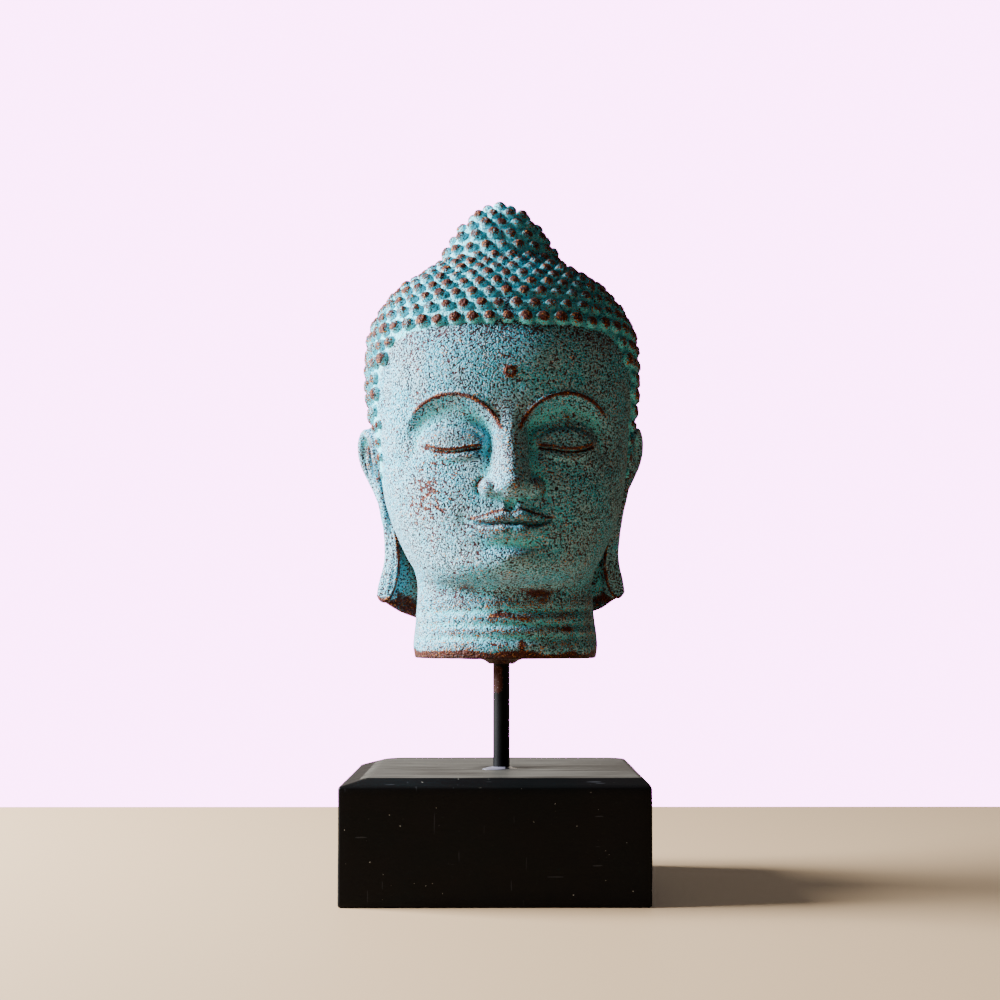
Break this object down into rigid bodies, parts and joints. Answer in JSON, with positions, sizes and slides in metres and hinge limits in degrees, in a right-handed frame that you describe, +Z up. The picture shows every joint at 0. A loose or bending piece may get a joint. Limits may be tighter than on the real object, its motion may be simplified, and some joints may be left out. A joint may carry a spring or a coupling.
{
  "type": "buddha head on stand",
  "caption": "Cast Buddha head with snail-curl hair, topknot and long ear lobes, held on a slim steel rod above a black painted wooden block.",
  "frame": {"origin": "middle of the block's flat underside", "axes": "+Z up along the rod, the face looks along -Y, +X to the right when the face is seen from the front"},
  "size_m": [0.1447, 0.154, 0.3333],
  "materials": {
    "black_painted_wood": "black satin paint on close-grained wood, with faint grain, dust specks and fine scratches",
    "black_painted_steel": "black satin paint with a brown rubbed patch near the top",
    "turquoise_patina": "sandy cast surface, copper-brown ground under a rubbed turquoise and grey-lilac wash, brown on curl tops and edges"
  },
  "bodies": {
    "root": {"base_block": "black_painted_wood", "rod": "black_painted_steel", "head": "turquoise_patina"}
  },
  "joints": []
}
